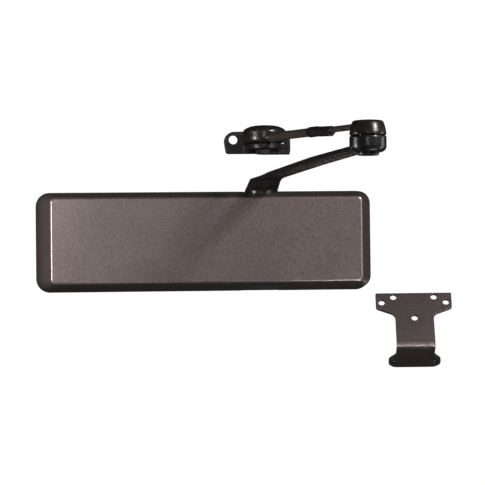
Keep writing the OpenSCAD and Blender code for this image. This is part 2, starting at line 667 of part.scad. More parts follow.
// The angle at which both free edges rest on the door plane
function rest_gap(a) = plate_length * sin(a) - tab_length * cos(a) - bracket_t * (sin(a) - cos(a));
function rest_angle(lo, hi, n) = let (mid = (lo + hi) / 2)
    n == 0 ? mid : rest_gap(mid) > 0 ? rest_angle(lo, mid, n - 1) : rest_angle(mid, hi, n - 1);
lean = rest_angle(20, 50, 40);

// Flat blank of the plate: across, and down from the free edge
shoulder_r = 3;
shoulder_v = 14.6;
throat_r = 6.2;
throat_v = 28;
slope = 68.5;                    // from across the plate to the shoulders' normals
plate_outline = concat(
    arc([-plate_half + 0.8, 0.8], 0.8, 180, 270, 2),
    arc([plate_half - 0.8, 0.8], 0.8, 270, 360, 2),
    arc([plate_half - shoulder_r, shoulder_v], shoulder_r, 0, slope, 4),
    arc([neck_half + throat_r, throat_v], throat_r, 180 + slope, 180, 6),
    [[neck_half, plate_length - bend_r], [-neck_half, plate_length - bend_r]],
    arc([-neck_half - throat_r, throat_v], throat_r, 0, -slope, 6),
    arc([-plate_half + shoulder_r, shoulder_v], shoulder_r, 180 - slope, 180, 4)
);
// Flat blank of the tab: across, and down from the bend
lobe_r = 8.5;
fillet_r = 5;
fillet_v = lobe_v - 4;
lobe_top_v = lobe_v + lobe_r;
tab_outline = concat(
    [[-neck_half, bend_r], [neck_half, bend_r]],
    arc([neck_half + fillet_r, fillet_v], fillet_r, 180, 128, 5),
    arc([tab_half - lobe_r, lobe_top_v], lobe_r, -52, 0, 6),
    arc([tab_half - lobe_r, tab_length - lobe_r], lobe_r, 0, 90, 8),
    arc([-tab_half + lobe_r, tab_length - lobe_r], lobe_r, 90, 180, 8),
    arc([-tab_half + lobe_r, lobe_top_v], lobe_r, 180, 232, 6),
    arc([-neck_half - fillet_r, fillet_v], fillet_r, 52, 0, 5)
);
// Puts children in the bracket's own frame: X across, -Z down the plate, -Y out of its face
bracket_back = plate_half * sin(abs(bracket_turn));
module at_bracket() translate([bracket_x, -bracket_back, bracket_top_z]) rotate([0, 0, bracket_turn])
    translate([0, -bracket_t * cos(lean), 0]) rotate([-lean, 0, 0]) children();

module parallel_arm_bracket() color("#4a4142") at_bracket() {
    difference() {
        mirror([0, 0, 1]) rotate([90, 0, 0]) mirror([0, 0, 1])
            linear_extrude(bracket_t) polygon(plate_outline);
        for (h = plate_holes) translate([h[0], 0, -h[1]]) ycyl(bracket_hole_r, -1, bracket_t + 1);
    }
    // bend
    translate([0, bend_r, -plate_length + bend_r]) difference() {
        xcyl(bend_r, -neck_half, neck_half);
        xcyl(bend_r - bracket_t, -neck_half - 1, neck_half + 1);
        block(-neck_half - 1, neck_half + 1, 0, bend_r + 1, -bend_r - 1, bend_r + 1);
        block(-neck_half - 1, neck_half + 1, -bend_r - 1, bend_r + 1, 0, bend_r + 1);
    }
    difference() {
        translate([0, 0, -plate_length]) linear_extrude(bracket_t) polygon(tab_outline);
        for (s = [-1, 1]) translate([s * tab_hole_half, tab_length - tab_hole_up, -plate_length])
            zcyl(tab_hole_r, -1, bracket_t + 1);
    }
}

closer_body();
cover();
upper_cover_insert();
lower_cover_insert();
cover_screws();
spring_tube();
tube_plug();
tube_plug_seal();
end_plug();
end_plug_seal();
upper_bearing_race();
upper_bearing_rollers();
upper_shaft_seal();
upper_gland_nut();
lower_bearing_race();
lower_bearing_rollers();
lower_shaft_seal();
lower_gland_nut();
pinion_shaft();
main_arm();
arm_screw();
arm_washer();
elbow_pin();
elbow_washer();
piston();
piston_check_valve();
piston_seal();
closer_spring();
spring_seat();
power_adjuster();
closing_speed_valve();
latch_speed_valve();
backcheck_valve();
closing_valve_seal();
latch_valve_seal();
backcheck_valve_seal();
forearm_rod();
elbow_cap();
elbow_bush();
forearm_tube();
clamp_sleeve();
clamp_screws();
shoe_bush();
shoe();
shoe_pin();
shoe_pin_nut();
parallel_arm_bracket();
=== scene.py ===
import json
import math
import bmesh
import bpy
from mathutils import Matrix, Vector

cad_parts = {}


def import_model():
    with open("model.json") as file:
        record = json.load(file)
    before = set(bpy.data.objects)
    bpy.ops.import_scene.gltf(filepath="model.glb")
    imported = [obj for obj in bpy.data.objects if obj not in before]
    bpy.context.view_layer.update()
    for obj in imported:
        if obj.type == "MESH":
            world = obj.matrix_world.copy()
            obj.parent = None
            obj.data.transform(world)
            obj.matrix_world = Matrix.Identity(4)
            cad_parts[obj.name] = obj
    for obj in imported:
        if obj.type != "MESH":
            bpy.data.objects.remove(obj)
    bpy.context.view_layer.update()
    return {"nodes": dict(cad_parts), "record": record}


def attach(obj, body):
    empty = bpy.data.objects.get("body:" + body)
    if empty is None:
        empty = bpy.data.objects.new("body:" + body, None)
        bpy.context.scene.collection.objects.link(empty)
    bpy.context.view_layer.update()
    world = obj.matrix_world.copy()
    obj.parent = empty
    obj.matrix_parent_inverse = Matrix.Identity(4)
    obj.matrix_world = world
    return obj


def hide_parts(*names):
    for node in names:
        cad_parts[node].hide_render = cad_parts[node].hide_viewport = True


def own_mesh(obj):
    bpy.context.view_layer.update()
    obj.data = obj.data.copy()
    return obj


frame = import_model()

# Lengths are in millimetres, in the row's frame, and MM turns them into metres.
# Only the lights, the camera and the materials' noise scales are given in metres.
MM = 0.001

# ---------------------------------------------------------------- sizes shared with the CAD
COVER_LENGTH, COVER_HEIGHT, COVER_DEPTH, COVER_WALL = 314, 93.5, 57, 2.5
SPINDLE = Vector((52.5, -28, 0))
ARM_LENGTH, ARM_ANGLE = 267, math.radians(13.4)
ELBOW_Z = 77.8
SHOE_PIVOT = Vector((56.3, -25.3, 0))
ROD_Z, EYE_Z = 86.2, 95.5
ELBOW = SPINDLE + ARM_LENGTH * Vector((math.sin(ARM_ANGLE), -math.cos(ARM_ANGLE), 0))

# ---------------------------------------------------------------- materials
COAT_ROUGHNESS = 0.12
BUMP_DEPTH = 0.0004                      # metres
CLOUD_SCALE = 14.0                       # of the slow variation in colour
WEAR_AND_SHEEN_FROM, WEAR_AND_SHEEN_TO = 0.53, 0.60          # pointiness at which the lighter edge starts and is full: rubbed paint and a painted highlight


def nodes_of(name):
    m = bpy.data.materials.new(name)
    m.use_nodes = True
    return m, m.node_tree.nodes, m.node_tree.links


def grainy(name, base, rough, metal, grain=0.12, scale=900.0, cloud=0.10, bump=0.05, bump_scale=1400.0,
           coat=0.0, stretch=(1, 1, 1), rough_spread=0.06, edge=None, gloss=0.5):
    """Surface with fine grain, slow cloudy variation and a matching bump. base is linear RGB."""
    m, nodes, links = nodes_of(name)
    bsdf = nodes["Principled BSDF"]
    bsdf.inputs["Metallic"].default_value = metal
    bsdf.inputs["Coat Weight"].default_value = coat
    bsdf.inputs["Specular IOR Level"].default_value = gloss
    bsdf.inputs["Coat Roughness"].default_value = COAT_ROUGHNESS
    coords = nodes.new("ShaderNodeTexCoord")
    mapping = nodes.new("ShaderNodeMapping")
    mapping.inputs["Scale"].default_value = stretch
    links.new(coords.outputs["Object"], mapping.inputs["Vector"])

    def noise(size, detail):
        n = nodes.new("ShaderNodeTexNoise")
        n.inputs["Scale"].default_value = size
        n.inputs["Detail"].default_value = detail
        links.new(mapping.outputs["Vector"], n.inputs["Vector"])
        return n.outputs["Fac"]

    def ramp(source, low, high, start=0.3, stop=0.7):
        r = nodes.new("ShaderNodeValToRGB")
        r.color_ramp.elements[0].position = start
        r.color_ramp.elements[1].position = stop
        r.color_ramp.elements[0].color = (*low, 1)
        r.color_ramp.elements[1].color = (*high, 1)
        links.new(source, r.inputs["Fac"])
        return r.outputs["Color"]

    fine = noise(scale, 3)
    slow = noise(CLOUD_SCALE, 4)
    colour = ramp(fine, [c * (1 - grain) for c in base], [c * (1 + grain) for c in base])
    tint = ramp(slow, [1 - cloud] * 3, [1 + cloud * 0.5] * 3)
    mix = nodes.new("ShaderNodeMix")
    mix.data_type = "RGBA"
    mix.blend_type = "MULTIPLY"
    mix.inputs["Factor"].default_value = 1.0
    links.new(colour, mix.inputs["A"])
    links.new(tint, mix.inputs["B"])
    out = mix.outputs["Result"]
    if edge:
        # brighter where the surface is sharply convex: rubbed paint on the corners and a painted
        # highlight along them
        geometry = nodes.new("ShaderNodeNewGeometry")
        wear_and_sheen_mask = ramp(geometry.outputs["Pointiness"], [0] * 3, [1] * 3, WEAR_AND_SHEEN_FROM, WEAR_AND_SHEEN_TO)
        wear_and_sheen_mix = nodes.new("ShaderNodeMix")
        wear_and_sheen_mix.data_type = "RGBA"
        links.new(wear_and_sheen_mask, wear_and_sheen_mix.inputs["Factor"])
        links.new(out, wear_and_sheen_mix.inputs["A"])
        wear_and_sheen_mix.inputs["B"].default_value = (*edge, 1)
        out = wear_and_sheen_mix.outputs["Result"]
    links.new(out, bsdf.inputs["Base Color"])
    rough_ramp = ramp(fine, [rough - rough_spread] * 3, [rough + rough_spread] * 3)
    links.new(rough_ramp, bsdf.inputs["Roughness"])
    if bump:
        b = nodes.new("ShaderNodeBump")
        b.inputs["Strength"].default_value = bump
        b.inputs["Distance"].default_value = BUMP_DEPTH
        links.new(noise(bump_scale, 2), b.inputs["Height"])
        links.new(b.outputs["Normal"], bsdf.inputs["Normal"])
    return m


MATERIALS = {
    "cover_paint": grainy("cover_paint", (0.112, 0.087, 0.084), 0.36, 0.75, grain=0.26, scale=800,
                          bump=0.03, bump_scale=1600, coat=0.15),
    # the edge colour lightens sharply convex edges: rubbed paint and a painted highlight
    "arm_paint": grainy("arm_paint", (0.010, 0.0088, 0.0088), 0.29, 0.05, bump=0.11,
                        bump_scale=600, gloss=0.35, cloud=0.2, edge=(0.03, 0.026, 0.025)),
    "forearm_paint": grainy("forearm_paint", (0.050, 0.040, 0.036), 0.33, 0.2, bump=0.14,
                            bump_scale=900, cloud=0.2),
    # dark paint of the elbow cap, and a darker copy of the forearm's paint put on the forearm's domed
    # ends as painted shade
    "knuckle_paint_and_shade": grainy("knuckle_paint_and_shade", (0.014, 0.0105, 0.0100), 0.28, 0.05, bump=0.10,
                            bump_scale=600, gloss=0.35, cloud=0.2),
    "shoe_paint": grainy("shoe_paint", (0.011, 0.0095, 0.0094), 0.33, 0.05, bump=0.08,
                         bump_scale=600, gloss=0.25, cloud=0.2),
    "bracket_paint": grainy("bracket_paint", (0.078, 0.060, 0.058), 0.40, 0.70, grain=0.24,
                            scale=800, bump=0.03, bump_scale=1500),
    "dark_fasteners": grainy("dark_fasteners", (0.045, 0.040, 0.040), 0.33, 0.7, bump=0.05),
    "body_casting": grainy("body_casting", (0.135, 0.135, 0.140), 0.62, 0.55, grain=0.25,
                           scale=500, bump=0.45, bump_scale=420, cloud=0.2),
    "bare_steel": grainy("bare_steel", (0.46, 0.455, 0.45), 0.30, 1.0, grain=0.08, scale=500,
                         bump=0.05, stretch=(0.12, 1, 1)),
    "spring_steel": grainy("spring_steel", (0.20, 0.205, 0.22), 0.32, 0.95, grain=0.15, scale=400,
                           bump=0.08),
    "seal_rubber": grainy("seal_rubber", (0.014, 0.014, 0.014), 0.62, 0.0, bump=0.08),
    "brass": grainy("brass", (0.55, 0.40, 0.16), 0.30, 1.0, grain=0.10, scale=600, bump=0.05),
    "insert_plastic": grainy("insert_plastic", (0.050, 0.043, 0.042), 0.48, 0.0, bump=0.10),
}

# ---------------------------------------------------------------- mesh tools
def mesh_object(name, verts, faces):
    mesh = bpy.data.meshes.new(name)
    mesh.from_pydata([Vector(v) * MM for v in verts], [], faces)
    return tidy(link(bpy.data.objects.new(name, mesh)))


def link(obj):
    bpy.context.scene.collection.objects.link(obj)
    return obj


def tidy(obj, merge=1e-7):
    """Merges doubled points and turns the faces outward."""
    bm = bmesh.new()
    bm.from_mesh(obj.data)
    bmesh.ops.remove_doubles(bm, verts=bm.verts, dist=merge)
    bmesh.ops.dissolve_degenerate(bm, edges=bm.edges, dist=merge)
    bmesh.ops.recalc_face_normals(bm, faces=bm.faces)
    bm.to_mesh(obj.data)
    bm.free()
    return obj


def bake(obj):
    """Applies an object's modifiers to its mesh."""
    bpy.context.view_layer.update()
    shape = obj.evaluated_get(bpy.context.evaluated_depsgraph_get())
    mesh = bpy.data.meshes.new_from_object(shape)
    obj.modifiers.clear()
    obj.data = mesh
    return obj


def remove(*objs):
    for o in objs:
        bpy.data.objects.remove(o, do_unlink=True)


def joined(name, parts):
    """One object with the meshes of several, which are removed."""
    bm = bmesh.new()
    for p in parts:
        p.data.transform(p.matrix_world)
        bm.from_mesh(p.data)
    remove(*parts)
    mesh = bpy.data.meshes.new(name)
    bm.to_mesh(mesh)
    bm.free()
    return link(bpy.data.objects.new(name, mesh))


def fused(name, parts, voxel, smooth=4):
    """One closed skin round several overlapping closed meshes, with soft junctions, like a casting."""
    obj = joined(name, parts)
    remesh = obj.modifiers.new("skin", "REMESH")
    remesh.mode = "VOXEL"
    remesh.voxel_size = voxel * MM
    soften = obj.modifiers.new("soften", "SMOOTH")
    soften.factor = 0.5
    soften.iterations = smooth
    return bake(obj)


def boolean(obj, cutters, operation="DIFFERENCE"):
    for cutter in cutters:
        mod = obj.modifiers.new("cut", "BOOLEAN")
        mod.operation = operation
        mod.solver = "EXACT"
        mod.object = cutter
    bake(obj)
    remove(*cutters)
    return obj


def loft(name, rings):
    """Closed solid through rings of points, all with the same count."""
    n = len(rings[0])
    verts = [p for ring in rings for p in ring]
    faces = [
        (i * n + j, i * n + (j + 1) % n, (i + 1) * n + (j + 1) % n, (i + 1) * n + j)
        for i in range(len(rings) - 1)
        for j in range(n)
    ]
    faces += [tuple(range(n))[::-1], tuple((len(rings) - 1) * n + j for j in range(n))]
    return mesh_object(name, verts, faces)


def lathe(name, profile, centre=(0, 0), segments=72):
    """Solid of revolution round a vertical axis. profile: (radius, z) from one end to the other."""
    rings = [
        [(centre[0] + max(r, 0.001) * math.cos(a), centre[1] + max(r, 0.001) * math.sin(a), z)
         for a in (2 * math.pi * k / segments for k in range(segments))]
        for r, z in profile
    ]
    return loft(name, rings)


def along(origin, direction, up=Vector((0, 0, 1))):
    """Matrix whose X runs along direction and whose Z leans towards up, at origin."""
    x = Vector(direction).normalized()
    y = up.cross(x).normalized()
    z = x.cross(y)
    m = Matrix((x, y, z)).transposed().to_4x4()
    m.translation = Vector(origin) * MM
    return m


def placed(obj, matrix):
    obj.data.transform(matrix)
    return obj


def rounded_profile(r, z0, z1, edge, steps=4):
    """Profile of a disc with rounded rims, for lathe()."""
    turn = [math.pi / 2 * k / steps for k in range(steps + 1)]
    low = [(r - edge + edge * math.sin(a), z0 + edge - edge * math.cos(a)) for a in turn]
    high = [(r - edge + edge * math.cos(a), z1 - edge + edge * math.sin(a)) for a in turn]
    return [(0, z0)] + low + high + [(0, z1)]


def rod(name, radii, matrix, segments=40):
    """Round bar along X through (x, radius) pairs."""
    turn = [2 * math.pi * k / segments for k in range(segments)]
    rings = [[(x, r * math.cos(a), r * math.sin(a)) for a in turn] for x, r in radii]
    return placed(loft(name, rings), matrix)


def rounded_rect(half_w, half_h, radius, corner=8):
    """Points round a rectangle with rounded corners, centred on the origin."""
    points = []
    for sx, sy, start in ((1, 1, 0), (-1, 1, 90), (-1, -1, 180), (1, -1, 270)):
        for k in range(corner + 1):
            a = math.radians(start + 90 * k / corner)
            points.append((sx * (half_w - radius) + radius * math.cos(a),
                           sy * (half_h - radius) + radius * math.sin(a)))
    return points


def arc(centre, r, a0, a1, steps):
    """Points on an arc, angles in degrees."""
    turn = [math.radians(a0 + (a1 - a0) * k / steps) for k in range(steps + 1)]
    return [(centre[0] + r * math.cos(a), centre[1] + r * math.sin(a)) for a in turn]


def plate(name, outline, holes, thickness, edge):
    """Flat plate in XY from z 0 to thickness, with round holes and rounded edges, as mesh."""
    curve = bpy.data.curves.new(name, "CURVE")
    curve.dimensions = "2D"
    curve.fill_mode = "BOTH"
    curve.extrude = (thickness / 2 - edge) * MM
    curve.bevel_depth = edge * MM
    curve.bevel_resolution = 2
    curve.offset = -edge * MM
    rings = [outline] + [arc((x, y), r, 0, 360 * 39 / 40, 39) for x, y, r in holes]
    for ring in rings:
        spline = curve.splines.new("POLY")
        spline.points.add(len(ring) - 1)
        for point, (x, y) in zip(spline.points, ring):
            point.co = (x * MM, y * MM, 0, 1)
        spline.use_cyclic_u = True
    temp = link(bpy.data.objects.new(name + "_curve", curve))
    bpy.context.view_layer.update()
    mesh = bpy.data.meshes.new_from_object(temp.evaluated_get(bpy.context.evaluated_depsgraph_get()))
    remove(temp)
    obj = link(bpy.data.objects.new(name, mesh))
    obj.data.transform(Matrix.Translation((0, 0, thickness / 2 * MM)))
    return tidy(obj, 1e-6)


def hexagon(name, flats, z0, z1, chamfer, matrix):
    """Hexagonal prism with chamfered corners."""
    r = flats / math.sqrt(3)
    ring = [(r * math.cos(math.pi / 3 * k), r * math.sin(math.pi / 3 * k)) for k in range(6)]
    prism = loft(name, [[(x, y, z0) for x, y in ring], [(x, y, z1) for x, y in ring]])
    cone = lathe(name + "_cone", [
        (0, z0), (flats / 2, z0), (r + 0.1, z0 + chamfer), (r + 0.1, z1 - chamfer),
        (flats / 2, z1), (0, z1)])
    return placed(boolean(prism, [cone], "INTERSECT"), matrix)


def show(obj, body, material, slot, *nodes, sharp=32):
    """Smooth shading with sharp corners kept, material, body, and the CAD nodes that it stands for."""
    bm = bmesh.new()
    bm.from_mesh(obj.data)
    for f in bm.faces:
        f.smooth = True
    for e in bm.edges:
        if len(e.link_faces) == 2:
            e.smooth = e.calc_face_angle(0) < math.radians(sharp)
    bm.to_mesh(obj.data)
    bm.free()
    obj.data.materials.clear()
    obj.data.materials.append(MATERIALS[material])
    weighted = obj.modifiers.new("flat faces stay flat", "WEIGHTED_NORMAL")
    weighted.keep_sharp = True
    bake(obj)
    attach(obj, body)
    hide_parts(*nodes)
    return obj


def painted_shade_end(obj, centre, reach):
    """Painted shade: the faces within reach (mm) of an upright axis through centre get a darker paint.
    """
    obj.data.materials.append(MATERIALS["knuckle_paint_and_shade"])
    for face in obj.data.polygons:
        if (face.center.xy - (centre * MM).xy).length < reach * MM:
            face.material_index = 1


# ---------------------------------------------------------------- cover
BACK_DEPTH = 0.5                         # of the open rear edge, from the door plane
REAR_DEPTH, EDGE_DEPTH = 32, 55.4        # where the walls start to curve in, and where the curve ends
FRONT_ROUND = 2.6                        # radius of the front edge
END_INSET = (3.2, 13.0)                  # how far the end walls are in, at the curve's start and end
SIDE_INSET = (1.7, 6.9)                  # the same for the top and bottom walls
CURVE_POWER = 1.6                        # of the inward curve
NOTCH_R = 18                             # half width of the notches round the spindle
COVER_SCREW_X, COVER_SCREW_Y = 94, -16


def inset_at(depth, span):
    """How far a wall is in at a depth: straight, then curving, then rolling over into the front."""
    start, stop = span
    if depth <= REAR_DEPTH:
        return start * (depth - BACK_DEPTH) / (REAR_DEPTH - BACK_DEPTH)
    run = EDGE_DEPTH - REAR_DEPTH
    slope = CURVE_POWER * (stop - start) / run
    roll = math.atan(slope)
    centre = COVER_DEPTH - FRONT_ROUND
    roll_depth = centre + FRONT_ROUND * math.sin(roll)

    def curve(d):
        return start + (stop - start) * ((d - REAR_DEPTH) / run) ** CURVE_POWER

    if depth <= roll_depth:
        return curve(depth)
    across = curve(roll_depth) + FRONT_ROUND * math.cos(roll)
    return across - math.sqrt(max(FRONT_ROUND ** 2 - (depth - centre) ** 2, 0))


def cover_ring(depth, wall):
    k = max(0.0, min(1.0, (depth - REAR_DEPTH) / (EDGE_DEPTH - REAR_DEPTH))) ** CURVE_POWER
    corner = (13 - 1.5 * min(depth / REAR_DEPTH, 1)) - 7.5 * k
    half_x = COVER_LENGTH / 2 - inset_at(depth, END_INSET) - wall
    half_z = COVER_HEIGHT / 2 - inset_at(depth, SIDE_INSET) - wall
    y = -(depth - (wall if depth > 1 else 0))
    return [(x, y, z) for x, z in rounded_rect(half_x, half_z, max(corner - wall, 1.2), 10)]


def make_cover():
    walls = [BACK_DEPTH, 6, 12, 18, 24, 29] + [REAR_DEPTH + 22 * k / 15 for k in range(16)]
    roll_angles = (22, 30, 38, 46, 54, 62, 70, 78, 85, 90)
    roll = [COVER_DEPTH - FRONT_ROUND * (1 - math.sin(math.radians(a))) for a in roll_angles]
    depths = walls + [d for d in roll if d > walls[-1]]
    inside = [cover_ring(d, COVER_WALL) for d in depths]
    outside = [cover_ring(d, 0) for d in depths]
    front = [(x * 0.9985, y, z * 0.995) for x, y, z in outside[-1]]
    cover = loft("cover_shell", inside[::-1] + outside + [front])
    cuts = []
    for side in (1, -1):
        z0, z1 = sorted((30 * side, 60 * side))
        cuts.append(lathe("notch", [(0, z0), (NOTCH_R, z0), (NOTCH_R, z1), (0, z1)], SPINDLE[:2], 96))
        corners = ((-NOTCH_R, SPINDLE.y), (NOTCH_R, SPINDLE.y), (NOTCH_R, 2), (-NOTCH_R, 2))
        slab = [(SPINDLE.x + x, y, z0) for x, y in corners]
        cuts.append(loft("slot", [slab, [(x, y, z1) for x, y, z in slab]]))
    countersink = [(0, -50), (4.9, -50), (4.9, -46.1), (2.6, -43.7), (2.6, -38), (0, -38)]
    for x in (-COVER_SCREW_X, COVER_SCREW_X):
        cuts.append(lathe("screw_hole", countersink, (x, COVER_SCREW_Y), 32))
    boolean(cover, cuts)
    show(cover, "closer_housing", "cover_paint", "cover_paint", "cover", sharp=28)


make_cover()

# ---------------------------------------------------------------- main arm
arm_frame = along(SPINDLE, (math.sin(ARM_ANGLE), -math.cos(ARM_ANGLE), 0))
# Half width, underside and top of the bar at places along it
BAR = [
    (8, 13.6, 50.5, 57.0), (14, 13.9, 52.6, 57.3), (20, 13.2, 54.0, 57.9), (27, 11.6, 55.0, 58.7),
    (35, 10.2, 55.4, 59.9), (45, 9.0, 55.9, 61.5), (70, 8.6, 57.1, 63.0), (110, 8.1, 59.1, 65.5),
    (150, 7.8, 61.1, 67.9), (190, 7.6, 62.8, 69.3), (230, 7.4, 64.4, 70.6), (248, 7.6, 65.1, 71.2),
    (258, 8.6, 65.5, 71.6), (267, 10.0, 65.8, 71.8),
]


def make_main_arm():
    hub = lathe("hub", [(0, 33.6), (14.4, 33.6), (15.4, 34.6), (15.4, 47), (0, 47)])
    circle = [(math.cos(a), math.sin(a)) for a in (2 * math.pi * k / 64 for k in range(64))]
    leaning = (
        (0, 15.4, 44), (0.1, 15.4, 46), (5.6, 15.0, 50.5), (12, 14.6, 55.4), (12, 14.3, 56.4),
        (12, 13.2, 57.2))
    neck = loft("neck", [[(s + r * c, r * q, z) for c, q in circle] for s, r, z in leaning])
    rings = []
    for s, half, low, high in BAR:
        section = rounded_rect(half, (high - low) / 2, 1.7, 6)
        rings.append([(s, y, (low + high) / 2 + z) for y, z in section])
    bar = loft("bar", rings)
    knuckle = lathe("knuckle", [
        (0, 64), (10.4, 64), (12.4, 64.6), (13.8, 65.5), (14.8, 67), (15.2, 68.8), (15.2, 76.8),
        (14.7, ELBOW_Z - 0.2), (0, ELBOW_Z - 0.2)], (ARM_LENGTH, 0))
    arm = fused("main_arm_forging", [hub, neck, bar, knuckle], 0.75, 5)
    seat = lathe("screw_seat", [(0, 50), (10.3, 50), (10.3, 57.2), (0, 66)], (0, 0), 64)
    placed(boolean(arm, [seat]), arm_frame)
    show(arm, "spindle_and_arm", "arm_paint", "dark_bronze_paint", "main_arm", sharp=50)


make_main_arm()
screw_head = joined("arm_screw_head", [
    hexagon("head", 13, 51.6, 56.6, 1.2, arm_frame),
    placed(lathe("shank", rounded_profile(4, 28.5, 51.7, 0.5)), arm_frame),
])
show(screw_head, "spindle_and_arm", "dark_fasteners", "dark_fasteners", "arm_screw")
pin = placed(lathe("elbow_pin_head", [
    (0, 61.6), (4.2, 61.5), (8.0, 61.6), (8.7, 61.9), (9, 62.5), (9, 63.4), (8.7, 63.9), (6, 63.9),
    (6, 84.1), (0, 84.1)]), Matrix.Translation(ELBOW * MM))
show(pin, "spindle_and_arm", "dark_fasteners", "dark_fasteners", "elbow_pin")

# ---------------------------------------------------------------- forearm
forearm_run = SHOE_PIVOT - ELBOW + Vector((0, 0, EYE_Z - ROD_Z))
forearm_frame = along(ELBOW + Vector((0, 0, ROD_Z)), forearm_run)
ROD_R, TUBE_R = 2.65, 3.9
SLEEVE_0, SLEEVE_COLLAR, SLEEVE_1 = 84, 120, 140
EYE_R, EYE_Z0, EYE_Z1 = 20, 90.3, 106.9
elbow_place = Matrix.Translation(ELBOW * MM)
shoe_place = Matrix.Translation(SHOE_PIVOT * MM)


def make_forearm_rod():
    head = placed(lathe("upper_knuckle", [
        (0, 78), (14.7, 78), (15.2, 78.6), (15.0, 80.5), (14.7, 82.3), (14.1, 85.3), (13.3, 87.8),
        (12.5, 89.3), (11.4, 90.0), (0, 90.3)]), elbow_place)
    root = rod("root", [
        (0, 4.4), (13, 4.3), (17, 3.5), (24, 2.9), (32, ROD_R), (34, ROD_R)], forearm_frame)
    skin = fused("elbow_forging", [head, root], 0.6, 4)
    bore = placed(lathe("cap_seat", [(0, 84.4), (9.45, 84.4), (9.45, 95), (0, 95)]), elbow_place)
    boolean(skin, [bore])
    bar = rod("bar", [(20, ROD_R - 0.02), (189, ROD_R), (190, ROD_R - 0.6)], forearm_frame)
    piece = joined("forearm_rod_forging", [skin, bar])
    show(piece, "forearm", "forearm_paint", "dark_bronze_paint", "forearm_rod", sharp=45)
    # painted shade on the upper knuckle's dome
    painted_shade_end(piece, ELBOW, 16)


def make_forearm_tube():
    bowl = placed(lathe("bowl", [
        (0, EYE_Z0), (15.5, EYE_Z0), (17.8, EYE_Z0 + 0.4), (19.2, EYE_Z0 + 1.3), (19.8, EYE_Z0 + 2.8),
        (EYE_R, 95), (EYE_R, 101.2), (19.6, 102.4), (18.4, 103.6), (16, 105), (13.6, 105.9),
        (11.4, 106.4), (9, EYE_Z1 - 0.1), (7.7, EYE_Z1 - 0.3), (0, EYE_Z1 - 0.3)]), shoe_place)
    neck = rod("neck", [(226, 4.2), (236, 4.45), (244, 4.62), (252, 4.72), (262, 4.72)], forearm_frame)
    skin = fused("eye_forging", [bowl, neck], 0.6, 3)
    bore = placed(lathe("pin_seat", [(0, 104), (7.7, 104), (7.7, 110), (0, 110)]), shoe_place)
    boolean(skin, [bore])
    tube = rod("tube", [
        (132, TUBE_R), (186, TUBE_R), (200, 4.05), (215, 4.2), (230, 4.38), (246, 4.58)], forearm_frame)
    piece = joined("forearm_tube_forging", [skin, tube])
    show(piece, "forearm_extension", "forearm_paint", "dark_bronze_paint", "forearm_tube", sharp=45)
    # painted shade on the eye's dome
    painted_shade_end(piece, SHOE_PIVOT, 20.5)


def make_clamp_sleeve():
    body = rod("body", [
        (SLEEVE_0, 2.9), (SLEEVE_0 + 0.6, 3.3), (SLEEVE_COLLAR - 1.5, 4.15), (SLEEVE_COLLAR, 4.6),
        (SLEEVE_1 - 0.6, 4.7), (SLEEVE_1, 4.2)], forearm_frame)
    side = [(SLEEVE_0, -2.9), (SLEEVE_0 + 6.5, -5.4), (SLEEVE_1, -3.9), (SLEEVE_1, 0), (SLEEVE_0, 0)]
    rib = placed(loft("rib", [[(x, y, z) for x, z in side] for y in (-3.1, 3.1)]), forearm_frame)
    sleeve = fused("clamp_sleeve_forging", [body, rib], 0.45, 3)
    screw_hole = [(0, -7), (1.63, -7), (1.63, -3.2), (0, -3.2)]
    holes = [placed(lathe("hole", screw_hole, (x, 0), 24), forearm_frame)
             for x in (SLEEVE_0 + 13, SLEEVE_0 + 27)]
    boolean(sleeve, holes)
    show(sleeve, "forearm_extension", "shoe_paint", "dark_bronze_paint", "clamp_sleeve", sharp=45)


make_forearm_rod()
make_forearm_tube()
make_clamp_sleeve()
cap = placed(lathe("elbow_cap_disc", [
    (0, 84.45), (9.4, 84.45), (9.4, 89.5), (9.1, 89.95), (8.4, 90.3), (5, 90.5),
    (0, 90.6)]), elbow_place)
show(cap, "forearm", "knuckle_paint_and_shade", "dark_bronze_paint", "elbow_cap")

# ---------------------------------------------------------------- shoe
SHOE_X, SHOE_LENGTH, SHOE_Z0, SHOE_Z1, SHOE_T = 51.7, 63, 82, 103.2, 4
SHOE_HOLES = [(SHOE_X + s * 22.7, SHOE_Z0 + 13.4, 4.15) for s in (-1, 1)]
SHELF = (84.8, 90.0)
# Turns a plate's XY into the row's XZ, with its thickness towards -Y
UPRIGHT = Matrix.Rotation(math.pi / 2, 4, "X")


